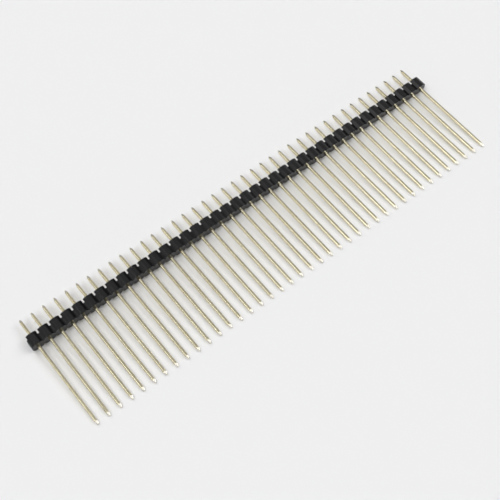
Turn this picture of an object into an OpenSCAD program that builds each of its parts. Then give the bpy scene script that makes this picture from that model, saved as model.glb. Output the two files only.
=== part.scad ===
// Straight pin header strip: one row of square posts pressed through a snap-apart insulator.
// Modelled in millimetres, lying as it comes to rest: on the insulator's lower front edge and on
// the ends of the long posts. X runs along the row, the long posts point to -Y, the tails to +Y.

/* [Row] */
// Number of posts in the row
pin_count = 40; // [2:1:58]
// Distance from one post to the next
pitch = 2.54; // [2.4:0.01:4]

/* [Posts] */
// Width of the square post, across its flats
pin_w = 0.64; // [0.5:0.01:0.8]
// Radius of the post's four long edges
pin_edge_r = 0.2; // [0.02:0.01:0.24]
// Length of the post on the mating side, beyond the insulator
post_l = 19.3; // [4:0.1:30]
// Length of the tail on the board side, beyond the insulator
tail_l = 4; // [2:0.1:12]
// Length of the four-sided point at the mating end
post_point_l = 0.8; // [0.3:0.05:1.5]
// Length of the four-sided point at the board end
tail_point_l = 0.7; // [0.3:0.05:1.5]
// Width of the small square left at each point's end
point_flat_w = 0.3; // [0.1:0.01:0.35]

/* [Insulator] */
// Height of the insulator, across the row
body_h = 2.5; // [2:0.01:3.5]
// Depth of the insulator, along the posts, over the stand-off feet
body_d = 2.54; // [2:0.01:8]
// Gap between neighbouring cells, above and below the webs
slot_w = 0.38; // [0.2:0.01:0.6]
// Width of the flat crown on the top and bottom of each cell
crown_w = 1; // [0.4:0.01:1.4]
// Drop from the crown to the shoulder at the cell's sides
shoulder_drop = 0.3; // [0.1:0.01:0.5]
// Chamfer along the crown's edge on the mating side
front_chamfer = 0.1; // [0.02:0.01:0.2]
// Height of the webs that join the cells and snap apart
web_h = 1.24; // [0.9:0.01:1.4]
// Height of the stand-off feet, along the posts
foot_l = 0.6; // [0.2:0.01:1]
// Width of the channel between the two rows of feet
channel_w = 1.7; // [1:0.01:1.8]

/* [Fit] */
// Clearance between a post and its hole, on each side
pin_clearance = 0; // [0:0.005:0.03]

/* [Hidden] */
$fn = 32;
// Cuts reach this far past the faces they open
cut_past = 1;
row_l = pitch * pin_count;
cell_w = pitch - slot_w;
web_d = body_d - foot_l;

// The strip touches the surface it lies on at the insulator's lower front edge, behind its
// chamfer, and at the posts' undersides, where their points begin.
rest_span = front_chamfer + post_l - post_point_l;
tilt = atan((body_h - pin_w) / 2 / rest_span);

// How far the laid strip reaches in front of and behind its mating face, and how high that
// face's middle lies.
reach_front = post_l * cos(tilt) + point_flat_w / 2 * sin(tilt);
reach_back = (body_d + tail_l) * cos(tilt) + point_flat_w / 2 * sin(tilt);
lift = body_h / 2 * cos(tilt) - front_chamfer * sin(tilt);

function two_digits(n) = n < 10 ? str("0", n) : str(n);
function pin_name(n) = str("pin_", two_digits(n));
function pin_x(n) = (n - (pin_count + 1) / 2) * pitch;

// From the strip's own frame, with the post axes in z = 0 and the insulator's mating face in
// y = 0, to the frame it lies in, with the middle of its box over the origin.
module lay_down() {
    translate([0, (reach_front - reach_back) / 2, lift])
        rotate([tilt, 0, 0])
            children();
}

// Extrudes an outline drawn as (x, z) along the posts, from y0 over a length
module along_posts(y0, length) {
    translate([0, y0 + length, 0])
        rotate([90, 0, 0])
            linear_extrude(length)
                children();
}

// Square with rounded corners
module soft_square(w, r) {
    square([w, w - 2 * r], center = true);
    square([w - 2 * r, w], center = true);
    for (sx = [-1, 1], sz = [-1, 1])
        translate([sx * (w / 2 - r), sz * (w / 2 - r)])
            circle(r);
}

// Side view of a post, drawn as (y, across): parallel flanks that run to a point at both ends
module pointed_profile() {
    polygon([
        [-post_l, -point_flat_w / 2],
        [-post_l + post_point_l, -pin_w / 2],
        [body_d + tail_l - tail_point_l, -pin_w / 2],
        [body_d + tail_l, -point_flat_w / 2],
        [body_d + tail_l, point_flat_w / 2],
        [body_d + tail_l - tail_point_l, pin_w / 2],
        [-post_l + post_point_l, pin_w / 2],
        [-post_l, point_flat_w / 2]
    ]);
}

// One post at x = 0: the rounded square bar, pointed both from the side and from above
module post() {
    intersection() {
        along_posts(-post_l, post_l + body_d + tail_l)
            soft_square(pin_w, pin_edge_r);
        rotate([90, 0, 90])
            linear_extrude(2 * pin_w, center = true)
                pointed_profile();
        rotate([0, 0, 90])
            linear_extrude(2 * pin_w, center = true)
                pointed_profile();
    }
}

// Outline of one cell, drawn as (x, z): flat crown and sloping shoulders, alike above and below
module cell_outline() {
    crown = crown_w / 2;
    side = cell_w / 2;
    top = body_h / 2;
    shoulder = top - shoulder_drop;
    polygon([
        [-side, -shoulder], [-crown, -top], [crown, -top], [side, -shoulder],
        [side, shoulder], [crown, top], [-crown, top], [-side, shoulder]
    ]);
}

// The small chamfer along the mating side's upper and lower edge, cut over the whole row
module front_edge_cut() {
    side = front_chamfer * sqrt(2);
    for (s = [-1, 1])
        translate([0, 0, s * body_h / 2])
            rotate([45, 0, 0])
                cube([row_l + 2 * cut_past, side, side], center = true);
}

// The square hole that a post is pressed into
module post_hole() {
    along_posts(-cut_past, body_d + 2 * cut_past)
        soft_square(pin_w + 2 * pin_clearance, pin_edge_r + pin_clearance);
}

// The moulded insulator: cells joined by low webs that stop short of the feet, so that the strip
// snaps at any web, and a channel between the two rows of feet on the board side.
module insulator() {
    color([0.14, 0.14, 0.15])
        lay_down()
            difference() {
                union() {
                    for (n = [1:pin_count])
                        translate([pin_x(n), 0, 0])
                            along_posts(0, body_d)
                                cell_outline();
                    translate([-row_l / 2, 0, -web_h / 2])
                        cube([row_l, web_d, web_h]);
                }
                translate([-row_l / 2 - cut_past, web_d, -channel_w / 2])
                    cube([row_l + 2 * cut_past, foot_l + cut_past, channel_w]);
                front_edge_cut();
                for (n = [1:pin_count])
                    translate([pin_x(n), 0, 0])
                        post_hole();
            }
}

// Post number n, counted from the -X end
module pin(n) {
    color([0.80, 0.74, 0.58])
        lay_down()
            translate([pin_x(n), 0, 0])
                post();
}

insulator();
for (n = [1:pin_count])
    pin(n);
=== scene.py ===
import math

import bpy
from mathutils import Matrix, Vector


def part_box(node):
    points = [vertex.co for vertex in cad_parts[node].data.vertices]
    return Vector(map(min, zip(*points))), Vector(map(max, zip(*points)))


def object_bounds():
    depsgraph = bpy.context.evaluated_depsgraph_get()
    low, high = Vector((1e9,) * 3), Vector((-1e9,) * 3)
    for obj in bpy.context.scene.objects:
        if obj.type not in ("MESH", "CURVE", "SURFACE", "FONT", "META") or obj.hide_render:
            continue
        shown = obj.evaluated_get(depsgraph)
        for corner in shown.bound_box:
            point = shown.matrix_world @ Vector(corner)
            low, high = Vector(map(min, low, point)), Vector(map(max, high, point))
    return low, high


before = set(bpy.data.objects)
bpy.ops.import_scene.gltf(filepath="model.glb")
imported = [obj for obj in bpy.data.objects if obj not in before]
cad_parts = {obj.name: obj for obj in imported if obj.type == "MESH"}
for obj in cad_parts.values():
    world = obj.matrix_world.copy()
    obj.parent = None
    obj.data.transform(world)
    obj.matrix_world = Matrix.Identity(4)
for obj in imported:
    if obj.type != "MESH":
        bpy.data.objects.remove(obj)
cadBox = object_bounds()
mm = 0.001  # the scene is in metres
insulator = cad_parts["insulator"]
rowLow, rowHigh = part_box("insulator")
postNames = sorted(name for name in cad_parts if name.startswith("pin_"))
pitch = (rowHigh.x - rowLow.x) / len(postNames)
print("frame loaded:", len(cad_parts), "nodes")


noiseMiddle = 0.5  # a noise texture varies about this value


class Wire:  # a shader socket that can be added, multiplied and compared
    def __init__(self, sheet, socket):
        self.sheet = sheet
        self.socket = socket

    def math(self, operation, first, second=0.0):
        return self.sheet.node("ShaderNodeMath", {"operation": operation}, {0: first, 1: second})

    def __add__(self, other):
        return self.math("ADD", self, other)

    def __radd__(self, other):
        return self.math("ADD", other, self)

    def __sub__(self, other):
        return self.math("SUBTRACT", self, other)

    def __rsub__(self, other):
        return self.math("SUBTRACT", other, self)

    def __mul__(self, other):
        return self.math("MULTIPLY", self, other)

    def __rmul__(self, other):
        return self.math("MULTIPLY", other, self)

    def __truediv__(self, other):
        return self.math("DIVIDE", self, other)

    def __gt__(self, other):
        return self.math("GREATER_THAN", self, other)

    def __lt__(self, other):
        return self.math("LESS_THAN", self, other)

    def size(self):
        return self.math("ABSOLUTE", self)

    def fraction(self):
        return self.math("FRACT", self)

    def highest(self, other):
        return self.math("MAXIMUM", self, other)

    def ramp(self, low, high):  # 0 below low, 1 above high, smooth between
        settings = {"interpolation_type": "SMOOTHSTEP"}
        values = {"Value": self, "From Min": low, "From Max": high}
        return self.sheet.node("ShaderNodeMapRange", settings, values)


class Sheet:  # one node tree, and the nodes that the finishes are drawn with
    def __init__(self, tree):
        self.tree = tree
        tree.nodes.clear()

    def node(self, kind, settings=None, values=None, out=0):
        made = self.tree.nodes.new(kind)
        for key, value in (settings or {}).items():
            setattr(made, key, value)
        for key, value in (values or {}).items():
            if isinstance(value, Wire):
                self.tree.links.new(value.socket, made.inputs[key])
            else:
                made.inputs[key].default_value = value
        return Wire(self, made.outputs[out]) if len(made.outputs) else made

    def mix(self, factor, first, second):
        values = {0: factor, 6: first, 7: second}  # 6 and 7 are the colours' sockets
        return self.node("ShaderNodeMix", {"data_type": "RGBA"}, values, out=2)

    def scaled(self, at, by):
        return self.node("ShaderNodeVectorMath", {"operation": "SCALE"}, {0: at, "Scale": by})

    def place(self):  # position in the part's frame, in millimetres
        at = self.node("ShaderNodeTexCoord", out=3)  # Object
        return self.scaled(at, 1 / mm)

    def stretched(self, at, by):
        return self.node("ShaderNodeVectorMath", {"operation": "MULTIPLY"}, {0: at, 1: by})

    def along(self, at, axis):
        return self.node("ShaderNodeSeparateXYZ", None, {0: at}, out="XYZ".index(axis))

    def joined(self, x, y, z):
        return self.node("ShaderNodeCombineXYZ", None, {0: x, 1: y, 2: z})

    def dot(self, first, second):
        values = {0: first, 1: second}
        return self.node("ShaderNodeVectorMath", {"operation": "DOT_PRODUCT"}, values, out=1)

    def noise(self, at, scale, detail=3.0, roughness=0.55):
        values = {"Vector": at, "Scale": scale, "Detail": detail, "Roughness": roughness}
        return self.node("ShaderNodeTexNoise", None, values)

    def bump(self, height):  # the height is in millimetres
        values = {"Strength": 1.0, "Distance": mm, "Height": height}
        return self.node("ShaderNodeBump", None, values)


def newMaterial(name):
    material = bpy.data.materials.new(name)
    material.use_nodes = True
    return material, Sheet(material.node_tree)


def finishMaterial(sheet, shader):
    sheet.node("ShaderNodeOutputMaterial", None, {"Surface": shader})


insulatorLook = {
    "colour": (0.0055, 0.0055, 0.006, 1),
    "paleColour": (0.0095, 0.0095, 0.010, 1),  # flow marks and scuffs
    "wornColour": (0.019, 0.019, 0.0195, 1),  # the crowns' rubbed edges
    "snappedColour": (0.12, 0.13, 0.14, 1),  # the torn web at each end of the row
    "roughness": 0.15,
    "roughnessSpread": 0.08,
    "scuffRoughness": 0.08,  # added where the face is scuffed
    "snappedRoughness": 0.45,  # added on the torn webs
    "ior": 1.47,
    "flowScale": 0.6,  # the patterns' scales are per millimetre
    "flowStretch": (1, 0.6, 1),  # drawn out along the posts
    "grainScale": 9.0,
    "scuffScale": 3.1,
    "scuffStretch": (1, 0.35, 1),
    "tornScale": 5.5,
    "scuffFrom": (0.56, 0.78),
    "wornFrom": (0.45, 0.62),
    "tornFrom": (0.25, 0.6),
    "paleShare": 0.5,  # of the flow marks and of the scuffs
    "wornStrength": 0.7,
    "edgeSegments": 2,
    "edgeAngle": 20,  # degrees: edges that turn less stay as they are
    # The lengths below are in millimetres.
    "crownHalf": 0.5,  # from a cell's middle to its crown's edge
    "wornWidth": 0.045,
    "endDepth": 0.02,  # how far in from the row's ends a face counts as torn
    "edgeRound": 0.035,
    "grainDepth": 0.0007,
    "tornDepth": 0.0058,
}


def makeInsulatorMaterial():
    look = insulatorLook
    material, s = newMaterial("mouldedBlack")
    at = s.place()
    flowAt = s.stretched(at, look["flowStretch"])
    flow = s.noise(flowAt, look["flowScale"], detail=4, roughness=0.6)
    grain = s.noise(at, look["grainScale"], detail=3, roughness=0.6)
    scuffAt = s.stretched(at, look["scuffStretch"])
    scuff = s.noise(scuffAt, look["scuffScale"], detail=5, roughness=0.7).ramp(*look["scuffFrom"])
    torn = s.noise(at, look["tornScale"], detail=5, roughness=0.75)
    x = s.along(at, "X")
    snapped = (x < rowLow.x / mm + look["endDepth"]) + (x > rowHigh.x / mm - look["endDepth"])
    cell = pitch / mm
    fromMiddle = ((x / cell).fraction() - 0.5).size() * cell  # each cell's middle is at a half
    edge = 1 - (fromMiddle - look["crownHalf"]).size().ramp(0, look["wornWidth"])
    worn = edge * grain.ramp(*look["wornFrom"])
    colour = s.mix((flow + scuff) * look["paleShare"], look["colour"], look["paleColour"])
    colour = s.mix(worn * look["wornStrength"], colour, look["wornColour"])
    colour = s.mix(snapped * torn.ramp(*look["tornFrom"]), colour, look["snappedColour"])
    roughness = look["roughness"] + look["roughnessSpread"] * (grain - noiseMiddle)
    roughness = roughness + look["scuffRoughness"] * scuff + look["snappedRoughness"] * snapped
    bump = s.bump(grain * look["grainDepth"] + snapped * torn * look["tornDepth"])
    shader = s.node("ShaderNodeBsdfPrincipled", None, {
        "Base Color": colour, "Roughness": roughness, "IOR": look["ior"], "Normal": bump})
    finishMaterial(s, shader)
    return material


postLook = {
    "colour": (0.85, 0.785, 0.575, 1),
    "deepColour": (0.74, 0.665, 0.44, 1),  # where the plating is thicker
    "pointColour": (0.93, 0.895, 0.80, 1),  # burnished by the press that formed the points
    "roughness": 0.11,
    "roughnessSpread": 0.03,
    "lineStretch": (18, 0.04, 18),  # per millimetre: fine across the post, long along it
    "cloudScale": 0.5,
    "cloudFrom": (0.35, 0.75),
    "toneStretch": (0.45, 0.01, 0.01),  # from post to post
    "toneFrom": (0.35, 0.65),
    "cloudShare": 0.3,
    "lineShare": 0.2,
    "toneShare": 0.25,
    "pointShare": 0.8,
    "pointSegments": 3,
    "pointAngle": 45,  # degrees: the long edges, rounded already, turn less
    # The lengths below are in millimetres.
    "lineDepth": 0.0001,
    "postPoint": 0.8,
    "tailPoint": 0.7,
    "pointRound": 0.09,
}


def makePostMaterial():
    look = postLook
    low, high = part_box(postNames[0])
    points = (look["postPoint"] + look["tailPoint"]) * mm
    # The posts rise towards their tails, so the lines along them are leant by that slope.
    slope = (high.z - low.z - (high.x - low.x)) / (high.y - low.y - points)
    material, s = newMaterial("paleGoldPlating")
    at = s.place()
    y = s.along(at, "Y")
    alongPost = s.joined(s.along(at, "X"), y, s.along(at, "Z") - slope * y)
    lineAt = s.stretched(alongPost, look["lineStretch"])
    line = s.noise(lineAt, 1.0, detail=3, roughness=0.6)
    cloud = s.noise(at, look["cloudScale"], detail=3, roughness=0.5)
    toneAt = s.stretched(at, look["toneStretch"])
    tone = s.noise(toneAt, 1.0, detail=1, roughness=0.5)
    pressed = (y < low.y / mm + look["postPoint"]) + (y > high.y / mm - look["tailPoint"])
    deep = cloud.ramp(*look["cloudFrom"]) * look["cloudShare"] + line * look["lineShare"]
    deep = deep + tone.ramp(*look["toneFrom"]) * look["toneShare"]
    colour = s.mix(deep, look["colour"], look["deepColour"])
    colour = s.mix(pressed * look["pointShare"], colour, look["pointColour"])
    roughness = look["roughness"] + look["roughnessSpread"] * (line - noiseMiddle)
    bump = s.bump(line * look["lineDepth"])
    shader = s.node("ShaderNodeBsdfPrincipled", None, {
        "Base Color": colour, "Metallic": 1.0, "Roughness": roughness, "Normal": bump})
    finishMaterial(s, shader)
    return material


def dress(node, material):
    node.data.materials.clear()
    node.data.materials.append(material)


edgeWork = {
    "weldDistance": 0.001,  # millimetres
    "splitAngle": 1,  # degrees
}


def softenEdges(node, width, segments, sharperThan, flatFaces=False):
    weld = node.modifiers.new("weld", "WELD")
    weld.merge_threshold = edgeWork["weldDistance"] * mm
    bevel = node.modifiers.new("soften", "BEVEL")
    bevel.width = width
    bevel.segments = segments
    bevel.limit_method = "ANGLE"
    bevel.angle_limit = math.radians(sharperThan)
    bevel.harden_normals = not flatFaces
    if flatFaces:  # each face keeps its own normal up to its edges
        split = node.modifiers.new("split", "EDGE_SPLIT")
        split.split_angle = math.radians(edgeWork["splitAngle"])
        split.use_edge_sharp = False


dress(insulator, makeInsulatorMaterial())
softenEdges(insulator, insulatorLook["edgeRound"] * mm, insulatorLook["edgeSegments"],
            insulatorLook["edgeAngle"], flatFaces=True)
postMaterial = makePostMaterial()
for name in postNames:
    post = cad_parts[name]
    dress(post, postMaterial)
    softenEdges(post, postLook["pointRound"] * mm, postLook["pointSegments"],
                postLook["pointAngle"])
print("materials on", 1 + len(postNames), "nodes")


def addToScene(name, data):
    made = bpy.data.objects.new(name, data)
    bpy.context.scene.collection.objects.link(made)
    return made


tableLook = {
    "size": 20.0,  # metres
    "colour": (0.79, 0.79, 0.795, 1),
    "roughness": 0.9,
    "specular": 0.0,
}


def makeTable():
    half = tableLook["size"] / 2
    mesh = bpy.data.meshes.new("table")
    corners = [(-half, -half, 0), (half, -half, 0), (half, half, 0), (-half, half, 0)]
    mesh.from_pydata(corners, [], [(0, 1, 2, 3)])
    table = addToScene("table", mesh)
    material, s = newMaterial("paleTable")
    shader = s.node("ShaderNodeBsdfPrincipled", None, {
        "Base Color": tableLook["colour"],
        "Roughness": tableLook["roughness"],
        "Specular IOR Level": tableLook["specular"]})
    finishMaterial(s, shader)
    mesh.materials.append(material)


cameraLook = {
    "aimFromMiddle": (-5.88 * mm, -2.15 * mm, -0.06 * mm),
    "heading": 40.08,  # degrees from +Y towards +X
    "elevation": 58.68,
    "roll": 0.99,
    "distance": 188.4 * mm,
    "lens": 68.8,
    "sensor": 36.0,
    "clipStart": 5 * mm,
}


def makeCamera():
    look = cameraLook
    heading = math.radians(look["heading"])
    elevation = math.radians(look["elevation"])
    forward = Vector((math.sin(heading) * math.cos(elevation),
                      math.cos(heading) * math.cos(elevation),
                      -math.sin(elevation)))
    middle = (Vector(cadBox[0]) + Vector(cadBox[1])) / 2
    aim = middle + Vector(look["aimFromMiddle"])
    data = bpy.data.cameras.new("camera")
    data.lens = look["lens"]
    data.sensor_width = look["sensor"]
    data.clip_start = look["clipStart"]
    camera = addToScene("camera", data)
    turn = forward.to_track_quat("-Z", "Y").to_matrix().to_4x4()
    spin = Matrix.Rotation(math.radians(look["roll"]), 4, "Z")
    camera.matrix_world = Matrix.Translation(aim - look["distance"] * forward) @ turn @ spin
    bpy.context.scene.camera = camera


# Soft boxes face straight down from one height over the strip. A middle and a size are given per
# unit of that height, across and along the camera's heading, and a level of 1 is white.
softBoxHeight = 20.0  # metres
softBoxes = {
    "keyBox": {"middle": (-0.50, -0.30), "size": (0.35, 0.30), "turn": 0, "level": 10.9},
    "nearLeftBox": {"middle": (-0.88, -0.82), "size": (1.16, 0.46), "turn": 39, "level": 1.4},
    "leftBox": {"middle": (-0.95, -0.45), "size": (0.50, 0.40), "turn": 30, "level": 1.9},
    "farLeftBox": {"middle": (-0.65, 0.63), "size": (1.40, 0.22), "turn": 18, "level": 1.5},
    "slantBox": {"middle": (-0.80, 0.54), "size": (1.64, 0.28), "turn": 145, "level": 3.0},
    "rightBox": {"middle": (1.02, 0.32), "size": (1.16, 0.44), "turn": 48, "level": 5.1},
    "farRightBox": {"middle": (1.08, 0.95), "size": (0.45, 0.50), "turn": 0, "level": 1.4},
    "overRowBox": {"middle": (-0.13, 0.17), "size": (0.16, 1.06), "turn": -71, "level": 0.65},
    "pointsBox": {"middle": (0.43, 0.17), "size": (1.00, 0.26), "turn": 40, "level": 0.65},
}


def cameraTurn():
    return Matrix.Rotation(-math.radians(cameraLook["heading"]), 4, "Z")


def makeSoftBox(name, box):
    data = bpy.data.lights.new(name, "AREA")
    data.shape = "RECTANGLE"
    data.size = box["size"][0] * softBoxHeight
    data.size_y = box["size"][1] * softBoxHeight
    data.energy = box["level"] * math.pi * data.size * data.size_y
    lamp = addToScene(name, data)
    place = Matrix.Translation(Vector((*box["middle"], 1)) * softBoxHeight)
    turn = Matrix.Rotation(math.radians(box["turn"]), 4, "Z")
    lamp.matrix_world = cameraTurn() @ place @ turn


skyLook = {
    "overhead": 0.40,
    "leanRight": 0.06,  # how much brighter the sky gets to the right
    "overheadFrom": (0.45, 0.65),  # sines of the elevations between which the overhead part starts
    "glow": 0.64,  # low on the left, on the far side
    "glowHeading": 150,  # degrees from the right, counter-clockwise
    "glowEdge": (0.55, 0.8),
    "horizon": 0.85,  # the pale ring around the table
    "horizonTo": (0.2, 0.3),
}


def makeSky():
    look = skyLook
    world = bpy.data.worlds.new("studio")
    world.use_nodes = True
    bpy.context.scene.world = world
    s = Sheet(world.node_tree)
    toSky = s.node("ShaderNodeTexCoord", out=0)  # Generated: the direction looked in
    right, far = (cameraTurn() @ Vector(axis) for axis in ((1, 0, 0), (0, 1, 0)))
    height = s.along(toSky, "Z")
    lean = s.dot(toSky, right * look["leanRight"])
    overhead = height.ramp(*look["overheadFrom"])
    glowTurn = math.radians(look["glowHeading"])
    glowWay = right * math.cos(glowTurn) + far * math.sin(glowTurn)
    glow = s.dot(toSky, glowWay).ramp(*look["glowEdge"])
    ring = 1 - height.size().ramp(*look["horizonTo"])
    level = (look["overhead"] + lean) * overhead
    level = level + look["glow"] * glow * (1 - overhead)
    level = level.highest(look["horizon"] * ring)
    background = s.node("ShaderNodeBackground", None, {"Color": (1, 1, 1, 1), "Strength": level})
    s.node("ShaderNodeOutputWorld", None, {"Surface": background})


makeTable()
makeCamera()
for name, box in softBoxes.items():
    makeSoftBox(name, box)
makeSky()
bpy.context.scene.view_settings.view_transform = "Standard"
print("table, camera, soft boxes and sky")
